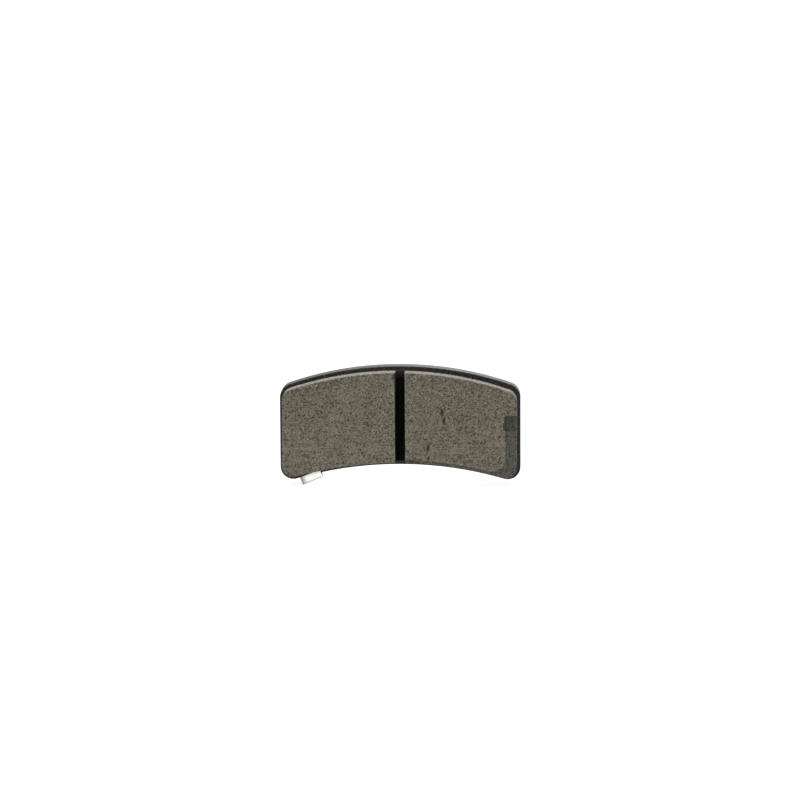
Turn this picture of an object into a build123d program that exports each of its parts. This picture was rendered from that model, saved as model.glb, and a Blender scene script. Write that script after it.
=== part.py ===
"""Disc brake pad of the earless sector kind, for a small sliding caliper.

The pad stands as it does in the caliper: +Z is up towards the outer rim of the rotor, +X runs along the
length, the friction faces look along -Y to the rotor and the shim looks along +Y to the piston.
The origin is the middle of the shim's outer face. Depths are counted from there towards the rotor,
so a depth of d lies at y = -d.

From the back forwards: rubber coated steel shim, backing plate, bond film, underlayer, two friction lands.
A wear indicator leaf is riveted to the plate's back and hooks round its lower edge.
"""

from math import cos, radians, sin, sqrt
import os

from build123d import *

# Backing plate
PAD_LENGTH = 92.0
RISE = 38.0  # from the lower arc to the upper arc, on the middle line
TOP_RADIUS = 131.4
BOTTOM_RADIUS = 142.0
TOP_CORNER = 5.6
BOTTOM_CORNER = 4.9
PLATE_THICKNESS = 5.5
PLATE_FRONT_ROUNDING = 0.3
PLATE_BACK_BREAK = 0.1
KEY_SPACING = 46.0  # between the two holes that the underlayer is moulded into
KEY_DROP = 2.0
KEY_MOUTH = 9.0
KEY_ROOT = 11.0
KEY_ROOT_DEPTH = 2.0

# Shim, from the outside in
SHIM_RUBBER = 0.1
SHIM_STEEL = 0.5
SHIM_GLUE = 0.1

# Moulded friction block
END_MARGIN = 1.2
TOP_MARGIN = 1.3
BOTTOM_MARGIN = 1.6
BLOCK_TOP_CORNER = 4.6
BLOCK_BOTTOM_CORNER = 4.2
BLOCK_SKEW = -0.4  # degrees that the block sits out of square on its plate
BOND_FILM = 0.1
UNDERLAYER = 2.0
FRICTION_THICKNESS = 5.5
EDGE_BREAK = 0.35
SLOT_WIDTH = 3.5
SLOT_MIDDLE = 0.25  # the slot is sawn a little off the pad's middle
SLOT_BITE = 0.4  # how far the slot goes on into the underlayer

# Sensor pocket and the unground rim of the right-hand land
POCKET_LEFT = 40.0
POCKET_TOP = 1.0
POCKET_BOTTOM = -4.8
POCKET_DEPTH = 1.5
POCKET_CORNER = 0.6
RIM_DEPTH = 0.4
RIM_TOP = POCKET_BOTTOM
RIM_END_WIDTH = 4.3
RIM_ARC_WIDTH = 1.4
RIM_CORNER = 5.0

# Wear indicator and its rivet
LEAF_THICKNESS = 0.5
LEAF_WIDTH = 8.2  # at the tip
LEAF_FOOT_WIDTH = 7.0
LEAF_MIDDLE = -34.15  # where its middle line crosses the plate's lower edge
LEAF_TILT = 22.0  # degrees from upright
LEAF_GAP = 1.6  # between the plate's lower edge and the leaf, on its middle line
LEAF_FOOT = 5.2  # from the plate's edge up to the rivet
LEAF_BEND = 0.7
LEAF_STAND = 2.9  # from the plate's front to the upturned tip
LEAF_TIP_TOP = 1.1  # above the plate's edge, on the leaf's middle line
SHIM_CLEARANCE = 0.7
RIVET_SHANK = 3.0
RIVET_DOME = 5.6
RIVET_DOME_HEIGHT = 0.9
RIVET_SUNK_HEAD = 5.0
RIVET_SUNK_DEPTH = 1.2

HALF_LENGTH = PAD_LENGTH / 2
TOP_APEX = RISE / 2
BOTTOM_APEX = -RISE / 2
SHIM_THICKNESS = 2 * SHIM_RUBBER + SHIM_STEEL + SHIM_GLUE
PLATE_FRONT = SHIM_THICKNESS + PLATE_THICKNESS
BLOCK_BACK = PLATE_FRONT + BOND_FILM
LAND_BACK = BLOCK_BACK + UNDERLAYER
FACE = LAND_BACK + FRICTION_THICKNESS
REACH_ALL = 2 * PAD_LENGTH  # larger than the pad, for trimming


def sagitta(radius, half_chord):
    """How far an arc of this radius falls away at half_chord from its apex."""
    return radius - sqrt(radius**2 - half_chord**2)


def sector(half_length, top_apex, top_radius, bottom_apex, bottom_radius, top_corner, bottom_corner):
    """Arched outline with upright ends: x along the pad, y up it."""
    top_end = top_apex - sagitta(top_radius, half_length)
    bottom_end = bottom_apex - sagitta(bottom_radius, half_length)
    upper_arc = ThreePointArc((-half_length, top_end), (0, top_apex), (half_length, top_end))
    right_end = Line((half_length, top_end), (half_length, bottom_end))
    lower_arc = ThreePointArc((half_length, bottom_end), (0, bottom_apex), (-half_length, bottom_end))
    left_end = Line((-half_length, bottom_end), (-half_length, top_end))
    face = make_face([upper_arc, right_end, lower_arc, left_end])
    corners = face.vertices().sort_by(Axis.Y)
    face = fillet(corners[2:], top_corner)
    lower_corners = [v for v in face.vertices() if abs(v.Y - bottom_end) < EDGE_BREAK]
    return fillet(lower_corners, bottom_corner)


def inset_sector(end_margin, top_margin, bottom_margin, top_corner, bottom_corner):
    """The plate's outline brought in by one margin at the ends and others along the two arcs."""
    return sector(
        HALF_LENGTH - end_margin,
        TOP_APEX - top_margin,
        TOP_RADIUS - top_margin,
        BOTTOM_APEX + bottom_margin,
        BOTTOM_RADIUS + bottom_margin,
        top_corner,
        bottom_corner,
    )


def at_depth(depth):
    """Sketch plane facing the rotor, this far in front of the origin."""
    return Plane.XZ.offset(depth)


def layer(face, back, thickness):
    """The outline as a solid whose back is at the depth given."""
    return extrude(at_depth(back) * face, amount=thickness)


def block(left, right, bottom, top, back, front):
    """Box between two x, two z and two depths."""
    face = Pos((left + right) / 2, (bottom + top) / 2) * Rectangle(right - left, top - bottom)
    return layer(face, back, front - back)


def edges_at(solid, depth):
    """Edges that lie wholly at one depth."""
    return solid.edges().filter_by_position(Axis.Y, -depth, -depth)


# Where the leaf crosses the plate's lower edge, and the directions along and across it
TILT = radians(LEAF_TILT)
LEAF_ACROSS = Vector(-cos(TILT), 0, -sin(TILT))
LEAF_UP = Vector(-sin(TILT), 0, cos(TILT))
LEAF_ROOT = Vector(LEAF_MIDDLE, 0, BOTTOM_APEX - sagitta(BOTTOM_RADIUS, LEAF_MIDDLE))
RIVET_PLACE = LEAF_ROOT + LEAF_UP * LEAF_FOOT

PLATE_OUTLINE = sector(
    HALF_LENGTH, TOP_APEX, TOP_RADIUS, BOTTOM_APEX, BOTTOM_RADIUS, TOP_CORNER, BOTTOM_CORNER
)
BLOCK_OUTLINE = Rot(0, 0, BLOCK_SKEW) * inset_sector(
    END_MARGIN, TOP_MARGIN, BOTTOM_MARGIN, BLOCK_TOP_CORNER, BLOCK_BOTTOM_CORNER
)


def key_hole(side):
    """Stepped hole, wider at the back, that locks the moulded underlayer in the plate."""
    place = Pos(side * KEY_SPACING / 2, -KEY_DROP)
    root = layer(place * Circle(KEY_ROOT / 2), SHIM_THICKNESS, KEY_ROOT_DEPTH)
    mouth = layer(place * Circle(KEY_MOUTH / 2), SHIM_THICKNESS, PLATE_THICKNESS + BOND_FILM)
    return root + mouth


def foot_outline(grow):
    """Outline of the leaf's foot on the plate's back: round at the rivet, open at the lower edge."""
    width = LEAF_FOOT_WIDTH + 2 * grow
    rivet = (RIVET_PLACE.X, RIVET_PLACE.Z)
    run = LEAF_FOOT + TOP_CORNER
    strip = Pos(0, -run / 2) * Rectangle(width, run)
    return Pos(*rivet) * Rot(0, 0, LEAF_TILT) * (strip + Circle(width / 2))


def make_rivet():
    """Rivet with a domed head on the leaf and a sunk head flush with the plate's front."""
    head_seat = SHIM_THICKNESS - LEAF_THICKNESS
    dome_top = head_seat - RIVET_DOME_HEIGHT
    dome_middle = (RIVET_DOME / 2 * cos(radians(45)), head_seat - RIVET_DOME_HEIGHT * sin(radians(60)))
    sunk_start = PLATE_FRONT - RIVET_SUNK_DEPTH
    crown = ThreePointArc((0, dome_top), dome_middle, (RIVET_DOME / 2, head_seat))
    side = Polyline(
        (RIVET_DOME / 2, head_seat),
        (RIVET_SHANK / 2, head_seat),
        (RIVET_SHANK / 2, sunk_start),
        (RIVET_SUNK_HEAD / 2, PLATE_FRONT),
        (0, PLATE_FRONT),
        (0, dome_top),
    )
    turned = revolve(make_face([crown, side]), Axis.Y)
    forwards = Plane(origin=RIVET_PLACE, x_dir=(1, 0, 0), z_dir=(0, 0, -1))
    return forwards * turned


def make_plate(rivet):
    """Fine-blanked plate with its two moulding keys and the rivet's hole."""
    plate = layer(PLATE_OUTLINE, SHIM_THICKNESS, PLATE_THICKNESS)
    plate = fillet(edges_at(plate, PLATE_FRONT), PLATE_FRONT_ROUNDING)
    plate = chamfer(edges_at(plate, SHIM_THICKNESS), PLATE_BACK_BREAK)
    for side in (-1, 1):
        plate -= key_hole(side)
    return plate - rivet


def make_shim_layers():
    """The four layers of the shim, back to front, with the notch that clears the leaf's foot."""
    outline = PLATE_OUTLINE - foot_outline(SHIM_CLEARANCE)
    stack = {
        "shim_outer_rubber": SHIM_RUBBER,
        "shim_steel_core": SHIM_STEEL,
        "shim_inner_rubber": SHIM_RUBBER,
        "shim_adhesive": SHIM_GLUE,
    }
    layers = {}
    back = 0.0
    for name, thickness in stack.items():
        layers[name] = layer(outline, back, thickness)
        back += thickness
    return layers


def make_bond_film():
    """Glue film between plate and underlayer, open at the moulding keys."""
    film = layer(BLOCK_OUTLINE, PLATE_FRONT, BOND_FILM)
    for side in (-1, 1):
        film -= key_hole(side)
    return film


def make_underlayer():
    """Dark base layer with its two keys, and the slot's shallow bottom groove."""
    base = layer(BLOCK_OUTLINE, BLOCK_BACK, UNDERLAYER)
    for side in (-1, 1):
        base += key_hole(side)
    left, right = SLOT_MIDDLE - SLOT_WIDTH / 2, SLOT_MIDDLE + SLOT_WIDTH / 2
    groove = block(left, right, -RISE, RISE, LAND_BACK - SLOT_BITE, LAND_BACK)
    return base - groove


def make_land(side):
    """One friction land: the block's outline on one side of the slot, its face edges broken."""
    middle = SLOT_MIDDLE + side * (SLOT_WIDTH + REACH_ALL) / 2
    keep = Pos(middle, 0) * Rectangle(REACH_ALL, REACH_ALL)
    land = layer(BLOCK_OUTLINE & keep, LAND_BACK, FRICTION_THICKNESS)
    return chamfer(edges_at(land, FACE), EDGE_BREAK)


def add_pocket_and_rim(land):
    """Sensor pocket at the right-hand end, and below it the rim left low by the grinding."""
    pocket = block(POCKET_LEFT, HALF_LENGTH, POCKET_BOTTOM, POCKET_TOP, FACE - POCKET_DEPTH, FACE)
    inner_edges = [e for e in pocket.edges().filter_by(Axis.Y) if e.center().X < HALF_LENGTH - POCKET_CORNER]
    land -= fillet(inner_edges, POCKET_CORNER)
    ground_field = inset_sector(
        END_MARGIN + RIM_END_WIDTH,
        TOP_MARGIN,
        BOTTOM_MARGIN + RIM_ARC_WIDTH,
        BLOCK_TOP_CORNER,
        RIM_CORNER,
    )
    below = Pos(0, RIM_TOP - PAD_LENGTH / 2) * Rectangle(REACH_ALL, PAD_LENGTH)
    rim = (below & PLATE_OUTLINE) - Rot(0, 0, BLOCK_SKEW) * ground_field
    return land - layer(rim, FACE - RIM_DEPTH, RIM_DEPTH)


def make_leaf(rivet):
    """Spring leaf: foot on the plate's back, round its lower edge, tip turned up to face the rotor."""
    profile_plane = Plane(origin=LEAF_ROOT, x_dir=(0, -1, 0), z_dir=LEAF_ACROSS)
    foot_depth = SHIM_THICKNESS - LEAF_THICKNESS / 2
    run_height = -LEAF_GAP - LEAF_THICKNESS / 2
    tip_depth = PLATE_FRONT + LEAF_STAND
    line = FilletPolyline(
        (foot_depth, LEAF_FOOT),
        (foot_depth, run_height),
        (tip_depth, run_height),
        (tip_depth, LEAF_TIP_TOP),
        radius=LEAF_BEND,
    )
    strip_face = trace(line, LEAF_THICKNESS)
    strip = extrude(profile_plane * strip_face, amount=LEAF_WIDTH / 2, both=True)
    # seen from below, the strip widens from its foot to its tip
    narrow, wide = LEAF_FOOT_WIDTH / 2, LEAF_WIDTH / 2
    starts, ends = foot_depth + LEAF_BEND, tip_depth - LEAF_BEND
    right_side = [(narrow, -1), (narrow, starts), (wide, ends), (wide, tip_depth + 1)]
    left_side = [(-across, depth) for across, depth in reversed(right_side)]
    plan = Plane(origin=LEAF_ROOT, x_dir=LEAF_ACROSS, z_dir=LEAF_UP)
    blank = make_face(Polyline(*right_side, *left_side, close=True))
    strip &= extrude(plan * blank, amount=PAD_LENGTH, both=True)
    foot = layer(
        Pos(RIVET_PLACE.X, RIVET_PLACE.Z) * Circle(LEAF_FOOT_WIDTH / 2),
        SHIM_THICKNESS - LEAF_THICKNESS,
        LEAF_THICKNESS,
    )
    return strip + foot - rivet


def main():
    os.makedirs("parts", exist_ok=True)
    rivet = make_rivet()
    nodes = {
        "backing_plate": make_plate(rivet),
        "bond_adhesive": make_bond_film(),
        "underlayer": make_underlayer(),
        "friction_land_left": make_land(-1),
        "friction_land_right": add_pocket_and_rim(make_land(1)),
        "wear_indicator": make_leaf(rivet),
        "indicator_rivet": rivet,
    }
    nodes.update(make_shim_layers())
    for name, shape in nodes.items():
        export_step(shape, f"parts/{name}.step")
        print(name, round(shape.volume, 1), "mm3")


main()
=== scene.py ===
# %% [markdown]
# # An arched disc brake pad
#
# The pad is a sandwich: a rubber coated steel shim, a black backing plate, a dark underlayer and two
# blocks of ground friction mix with a slot between them. A bright spring leaf, the wear indicator, is
# riveted to the plate's back and reaches round its lower edge.
#
# The CAD model fixes every size and place. This lesson builds the surfaces over it, one piece at a
# time, with the operators that a person would use by hand.

# %% Load the frame
import math

import bpy
from mathutils import Matrix, Quaternion, Vector


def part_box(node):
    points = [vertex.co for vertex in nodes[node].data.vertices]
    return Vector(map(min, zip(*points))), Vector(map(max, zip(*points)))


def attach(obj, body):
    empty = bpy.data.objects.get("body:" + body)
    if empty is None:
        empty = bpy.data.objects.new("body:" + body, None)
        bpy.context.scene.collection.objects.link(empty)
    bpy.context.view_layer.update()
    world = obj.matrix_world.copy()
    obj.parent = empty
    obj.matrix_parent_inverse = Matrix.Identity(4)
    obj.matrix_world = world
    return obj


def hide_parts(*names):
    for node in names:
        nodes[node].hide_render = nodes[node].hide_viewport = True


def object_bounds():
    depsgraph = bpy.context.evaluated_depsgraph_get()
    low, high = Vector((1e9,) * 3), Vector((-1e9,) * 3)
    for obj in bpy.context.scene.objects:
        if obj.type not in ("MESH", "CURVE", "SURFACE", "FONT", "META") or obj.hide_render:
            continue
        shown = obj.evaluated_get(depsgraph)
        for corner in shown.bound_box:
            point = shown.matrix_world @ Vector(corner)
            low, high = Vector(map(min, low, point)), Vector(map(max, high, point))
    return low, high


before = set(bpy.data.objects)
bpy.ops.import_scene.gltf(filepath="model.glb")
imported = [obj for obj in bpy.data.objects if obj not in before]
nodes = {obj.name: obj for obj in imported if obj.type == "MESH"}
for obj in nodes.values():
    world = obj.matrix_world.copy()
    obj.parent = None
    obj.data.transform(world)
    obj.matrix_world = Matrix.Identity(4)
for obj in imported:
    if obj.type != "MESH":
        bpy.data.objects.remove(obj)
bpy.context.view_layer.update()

# %% [markdown]
# Blender works in metres, and this object is measured in millimetres, so one constant turns one into
# the other. The boxes of the CAD nodes then give every level through the pad's thickness. The radii of
# the arcs and corners are the plate's own drawing sizes, which a box can't tell. The outline is drawn a
# few microns short, so that no new surface reaches past the CAD model's box.

# %% Sizes
MM = 0.001
plate_low, plate_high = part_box("backing_plate")
face_low, face_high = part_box("friction_land_left")
SHY = 0.003 * MM
HALF_LENGTH = plate_high.x - SHY
TOP_APEX = plate_high.z
TOP_RADIUS = 131.4 * MM
BOTTOM_RADIUS = 142.0 * MM
RISE = 38.0 * MM
BOTTOM_APEX = TOP_APEX - RISE
TOP_CORNER = 5.6 * MM
BOTTOM_CORNER = 4.9 * MM
SLOT_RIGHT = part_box("friction_land_right")[0].x
SLOT_LEFT = face_high.x
SLOT_WIDTH = SLOT_RIGHT - SLOT_LEFT
SLOT_MIDDLE = (SLOT_RIGHT + SLOT_LEFT) / 2
FACE = face_low.y
LEAF_TILT = math.radians(22.0)
print("face at", FACE, "slot", round(SLOT_WIDTH / MM, 2), "mm wide")

# %% [markdown]
# ## Camera
#
# A long lens from a metre and a half away shows the pad almost square-on, with hardly any perspective.
# It stands a little above the pad and a touch to its right. `to_track_quat` turns a direction into the
# camera's rotation, so the aim is one point and one distance.

# %% Camera
VIEW_AZIMUTH = math.radians(2.5)
VIEW_ELEVATION = math.radians(9.6)
VIEW_DISTANCE = 1.58
VIEW_ROLL = math.radians(-0.33)
LENS = 186.1
AIM = Vector((0.00002, plate_low.y, TOP_APEX - 13.05 * MM))

camera_data = bpy.data.cameras.new("camera")
camera_data.lens = LENS
camera_data.sensor_width = 36.0
camera_data.clip_start = 0.01
camera_data.clip_end = 50.0
camera = bpy.data.objects.new("camera", camera_data)
bpy.context.scene.collection.objects.link(camera)
towards_camera = Vector(
    (
        math.sin(VIEW_AZIMUTH) * math.cos(VIEW_ELEVATION),
        -math.cos(VIEW_AZIMUTH) * math.cos(VIEW_ELEVATION),
        math.sin(VIEW_ELEVATION),
    )
)
camera.location = AIM + towards_camera * VIEW_DISTANCE
camera.rotation_mode = "QUATERNION"
level = (-towards_camera).to_track_quat("-Z", "Y")
camera.rotation_quaternion = level @ Quaternion((0.0, 0.0, 1.0), VIEW_ROLL)
bpy.context.scene.camera = camera
print("camera at", [round(value, 3) for value in camera.location])

# %% [markdown]
# ## Helpers for modelling
#
# An operator works on whatever is selected, so the first helper makes one object the only selected
# one. The second bakes an object's place, turn and size into its mesh, as every finished piece here
# has its object at the origin. The third applies its modifiers in order, and the rest cut, pick edges,
# extrude and clean up.


# %% Modelling helpers
def alone(piece):
    """Object mode, with this piece the only one selected."""
    if bpy.context.object and bpy.context.object.mode != "OBJECT":
        bpy.ops.object.mode_set(mode="OBJECT")
    bpy.ops.object.select_all(action="DESELECT")
    piece.select_set(True)
    bpy.context.view_layer.objects.active = piece


def settle(piece):
    """Move the object's place, turn and size into its mesh."""
    alone(piece)
    bpy.ops.object.transform_apply(location=True, rotation=True, scale=True)


def apply_modifiers(piece):
    """Apply every modifier on the piece, from the top of the stack down."""
    alone(piece)
    for modifier in list(piece.modifiers):
        bpy.ops.object.modifier_apply(modifier=modifier.name)


def cut_away(piece, tool):
    """Subtract the tool from the piece, and throw the tool away."""
    boolean = piece.modifiers.new("cut", "BOOLEAN")
    boolean.operation = "DIFFERENCE"
    boolean.solver = "EXACT"
    boolean.object = tool
    apply_modifiers(piece)
    bpy.data.objects.remove(tool)


def select_edges(piece, wanted):
    """In edit mode, select the edges for which wanted(first corner, second corner) is true."""
    bpy.ops.mesh.select_mode(type="EDGE")
    bpy.ops.mesh.select_all(action="DESELECT")
    bpy.ops.object.mode_set(mode="OBJECT")
    corners = piece.data.vertices
    for edge in piece.data.edges:
        first, second = (corners[index].co for index in edge.vertices)
        edge.select = wanted(first, second)
    bpy.ops.object.mode_set(mode="EDIT")


def draw_out(x, y, z):
    """In edit mode, extrude what is selected by a step."""
    bpy.ops.mesh.extrude_region_move(TRANSFORM_OT_translate={"value": (x, y, z)})


def tidy_normals():
    """In edit mode: merge doubled corners and point every face outwards."""
    bpy.ops.mesh.select_all(action="SELECT")
    bpy.ops.mesh.remove_doubles(threshold=0.002 * MM)
    bpy.ops.mesh.normals_make_consistent(inside=False)


def finish_piece(piece, material, slot, *replaced):
    """Give a piece its finish, and let it ride with the pad's one body in place of CAD nodes."""
    piece.data.materials.clear()
    piece.data.materials.append(material)
    alone(piece)
    bpy.ops.object.shade_smooth_by_angle(angle=math.radians(35))
    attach(piece, "root")
    if replaced:
        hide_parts(*replaced)
    print(piece.name, len(piece.data.polygons), "faces")


# %% [markdown]
# ## Helpers for materials
#
# Shader nodes are easier to read when each is made and wired in one line. `feed` links or sets a node's
# inputs by name, and `node` makes a node and feeds it. The short functions after it each stand for one
# step that every finish takes: a mask, a tint, a noise. An effect that several finishes share is a node
# group, made once, with named inputs and outputs, and placed in each material with its own values.


# %% Shader helpers
def feed(tree, target, inputs):
    """Fill a node's inputs by name or number. An output is linked, and a plain value is set."""
    for key, value in inputs.items():
        socket = target.inputs[key]
        if isinstance(value, bpy.types.NodeSocket):
            tree.links.new(value, socket)
        else:
            socket.default_value = value


def node(tree, kind, inputs=None, **values):
    """Make a shader node with its plain values, and fill its inputs."""
    made = tree.nodes.new(kind)
    for name, value in values.items():
        setattr(made, name, value)
    feed(tree, made, inputs or {})
    return made


def new_group(name, inputs, outputs):
    """Make a node group with float, colour or vector sockets, and return it with its two ends."""
    kinds = {"float": "NodeSocketFloat", "color": "NodeSocketColor", "vector": "NodeSocketVector"}
    group = bpy.data.node_groups.new(name, "ShaderNodeTree")
    for label, (kind, value) in inputs.items():
        socket = group.interface.new_socket(label, in_out="INPUT", socket_type=kinds[kind])
        if value is not None:
            socket.default_value = value
    for label, kind in outputs.items():
        group.interface.new_socket(label, in_out="OUTPUT", socket_type=kinds[kind])
    return group, group.nodes.new("NodeGroupInput"), group.nodes.new("NodeGroupOutput")


def place_group(tree, group, **inputs):
    """Place a node group in a material; underscores in the names stand for spaces."""
    made = tree.nodes.new("ShaderNodeGroup")
    made.node_tree = group
    feed(tree, made, {key.replace("_", " "): value for key, value in inputs.items()})
    return made


def ramp(tree, value, low, high):
    """A mask that rises smoothly from 0 at low to 1 at high."""
    made = node(
        tree,
        "ShaderNodeMapRange",
        {"Value": value, "From Min": low, "From Max": high},
        interpolation_type="SMOOTHSTEP",
    )
    return made.outputs["Result"]


def blend(tree, factor, first, second):
    """Mix two colours by a mask."""
    inputs = {0: factor, 6: first, 7: second}
    return node(tree, "ShaderNodeMix", inputs, data_type="RGBA").outputs[2]


def maths(tree, operation, first, second=None):
    """One arithmetic step on one or two values."""
    inputs = {0: first} if second is None else {0: first, 1: second}
    return node(tree, "ShaderNodeMath", inputs, operation=operation).outputs[0]


def tint(tree, colour, mask, share, tone):
    """Lay a tone over a colour by a mask, taken at a share of its strength."""
    return blend(tree, maths(tree, "MULTIPLY", mask, share), colour, tone)


def noise(tree, place, scale, detail):
    """Cloudy noise with values about 0.5."""
    made = node(tree, "ShaderNodeTexNoise", {"Vector": place, "Scale": scale, "Detail": detail})
    return made.outputs["Fac"]


def stretch(tree, place, scale, turn=0.0):
    """Coordinates scaled by different amounts along X, Y and Z, and turned about Y."""
    inputs = {"Vector": place, "Rotation": (0.0, turn, 0.0), "Scale": scale}
    return node(tree, "ShaderNodeMapping", inputs).outputs["Vector"]


def split(tree, vector):
    """The three numbers of a vector, as outputs named X, Y and Z."""
    return node(tree, "ShaderNodeSeparateXYZ", {0: vector}).outputs


def surface_normal(tree):
    """The direction that the surface faces."""
    return node(tree, "ShaderNodeNewGeometry").outputs["Normal"]


def new_material(name):
    """A material with a Principled BSDF, and the tree, shader and Object coordinates to wire up."""
    material = bpy.data.materials.new(name)
    material.use_nodes = True
    tree = material.node_tree
    shader = tree.nodes["Principled BSDF"]
    place = tree.nodes.new("ShaderNodeTexCoord").outputs["Object"]
    return material, tree, shader, place


def bump(tree, shader, height, depth):
    """Feed a height map to the shader's normal, its full height being depth in metres."""
    made = node(tree, "ShaderNodeBump", {"Height": height, "Strength": 1.0, "Distance": depth})
    feed(tree, shader, {"Normal": made.outputs["Normal"]})


# %% [markdown]
# ### Shared effects
#
# Edge wear comes from the Bevel node: it gives the normal that the surface would have if its edges
# were rounded, and where that differs from the true normal there is an edge. Noise breaks the line up.
# Dust settles on what faces up, in soft patches. Mottle is the plain unevenness that nothing made in a
# press or a paint line is without.


# %% Shared effect groups
def make_edge_wear():
    """Mask of rubbed edges: 1 on worn corners, 0 on flats."""
    group, start, end = new_group(
        "edge wear",
        {"Vector": ("vector", None), "Radius": ("float", 0.2 * MM), "Breakup": ("float", 1500.0)},
        {"Mask": "float"},
    )
    rounded = node(group, "ShaderNodeBevel", {"Radius": start.outputs["Radius"]}, samples=6)
    normals = {0: rounded.outputs["Normal"], 1: surface_normal(group)}
    alike = node(group, "ShaderNodeVectorMath", normals, operation="DOT_PRODUCT")
    edge = maths(group, "SUBTRACT", 1.0, alike.outputs["Value"])
    patches = noise(group, start.outputs["Vector"], start.outputs["Breakup"], 4.0)
    wear = maths(group, "MULTIPLY", edge, ramp(group, patches, 0.42, 0.62))
    feed(group, end, {"Mask": ramp(group, wear, 0.03, 0.16)})
    return group


def make_dust():
    """Mask of settled dust: most on faces that look up, in patches."""
    group, start, end = new_group(
        "settled dust",
        {"Vector": ("vector", None), "Scale": ("float", 700.0), "Amount": ("float", 0.3)},
        {"Mask": "float"},
    )
    facing = ramp(group, split(group, surface_normal(group))["Z"], -0.6, 1.0)
    patches = noise(group, start.outputs["Vector"], start.outputs["Scale"], 6.0)
    cover = ramp(group, patches, 0.40, 0.75)
    dust = maths(group, "MULTIPLY", cover, maths(group, "ADD", facing, 0.35))
    feed(group, end, {"Mask": maths(group, "MULTIPLY", dust, start.outputs["Amount"])})
    return group


def make_mottle():
    """Broad and fine unevenness in one value about 0.5."""
    group, start, end = new_group(
        "mottle",
        {"Vector": ("vector", None), "Broad": ("float", 120.0), "Fine": ("float", 2500.0)},
        {"Value": "float"},
    )
    broad = noise(group, start.outputs["Vector"], start.outputs["Broad"], 3.0)
    fine = noise(group, start.outputs["Vector"], start.outputs["Fine"], 3.0)
    total = maths(group, "ADD", broad, fine)
    feed(group, end, {"Value": maths(group, "MULTIPLY", total, 0.5)})
    return group


EDGE_WEAR = make_edge_wear()
DUST = make_dust()
MOTTLE = make_mottle()
print("groups", [group.name for group in bpy.data.node_groups])

# %% [markdown]
# ## The friction mix
#
# Friction material is a pressed and baked gravel: resin and mineral powder, dark coke and graphite
# grains, pale chopped fibres and a few metal chips. Grinding has cut the face flat, so every grain
# shows its section. Anything the wheel didn't reach keeps the darker skin from the mould.
#
# Three patterns make it. Voronoi cells are the grains, each with its own random tone. Fibres are noise
# stretched along one direction and cut to thin slivers, in three directions. Pits are the places where
# a grain fell out. All of them are Object coordinates, so one pattern runs over the face and its sides.


# %% Friction mix group
def make_fibres():
    """Thin pale slivers lying in one direction, from stretched noise."""
    group, start, end = new_group(
        "fibres",
        {"Vector": ("vector", None), "Turn": ("float", 0.0), "Density": ("float", 0.66)},
        {"Mask": "float"},
    )
    turned = node(
        group,
        "ShaderNodeVectorRotate",
        {"Vector": start.outputs["Vector"], "Angle": start.outputs["Turn"]},
        rotation_type="Y_AXIS",
    )
    slivers = noise(group, stretch(group, turned.outputs["Vector"], (900.0, 2500.0, 6500.0)), 1.0, 1.0)
    above = maths(group, "SUBTRACT", slivers, start.outputs["Density"])
    feed(group, end, {"Mask": ramp(group, above, 0.0, 0.05)})
    return group


FIBRES = make_fibres()


def make_friction_mix():
    """Colour, grain tone, pits and fibres of the friction mix."""
    group, start, end = new_group(
        "friction mix",
        {
            "Vector": ("vector", None),
            "Matrix": ("color", (0.126, 0.106, 0.076, 1.0)),
            "Dark grain": ("color", (0.014, 0.012, 0.009, 1.0)),
            "Pale grain": ("color", (0.240, 0.211, 0.163, 1.0)),
            "Fibre": ("color", (0.42, 0.39, 0.31, 1.0)),
        },
        {"Color": "color", "Height": "float", "Pits": "float"},
    )
    place = start.outputs["Vector"]
    warp = node(group, "ShaderNodeTexNoise", {"Vector": place, "Scale": 900.0, "Detail": 2.0})
    shifted = node(
        group,
        "ShaderNodeVectorMath",
        {0: warp.outputs["Color"], 1: (0.0005, 0.0005, 0.0005)},
        operation="MULTIPLY",
    )
    wobbly = node(
        group, "ShaderNodeVectorMath", {0: place, 1: shifted.outputs["Vector"]}, operation="ADD"
    ).outputs["Vector"]
    grains = node(group, "ShaderNodeTexVoronoi", {"Vector": wobbly, "Scale": 1900.0})
    tone = node(group, "ShaderNodeSeparateColor", {0: grains.outputs["Color"]}).outputs["Red"]
    powder = noise(group, place, 2600.0, 4.0)
    dark_grain, pale_grain = start.outputs["Dark grain"], start.outputs["Pale grain"]
    colour = blend(group, ramp(group, powder, 0.30, 0.72), dark_grain, pale_grain)
    colour = blend(group, 0.55, start.outputs["Matrix"], colour)
    colour = tint(group, colour, ramp(group, tone, 0.78, 0.90), 0.75, dark_grain)
    colour = tint(group, colour, ramp(group, tone, 0.16, 0.05), 0.65, pale_grain)
    clouds = ramp(group, noise(group, place, 260.0, 5.0), 0.30, 0.70)
    colour = tint(group, colour, clouds, 0.22, dark_grain)
    pits = ramp(group, noise(group, wobbly, 1500.0, 3.0), 0.61, 0.68)
    fibre_mask = None
    for turn in (0.25, 1.2, 2.3):
        slivers = place_group(group, FIBRES, Vector=place, Turn=turn, Density=0.67).outputs["Mask"]
        fibre_mask = slivers if fibre_mask is None else maths(group, "MAXIMUM", fibre_mask, slivers)
    colour = tint(group, colour, fibre_mask, 0.6, start.outputs["Fibre"])
    colour = tint(group, colour, pits, 0.85, dark_grain)
    rough = maths(group, "MULTIPLY", powder, 0.35)
    height = maths(group, "SUBTRACT", maths(group, "ADD", rough, fibre_mask), pits)
    feed(group, end, {"Color": colour, "Height": height, "Pits": pits})
    return group


FRICTION_MIX = make_friction_mix()
print("friction mix has", len(FRICTION_MIX.nodes), "nodes")

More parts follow.
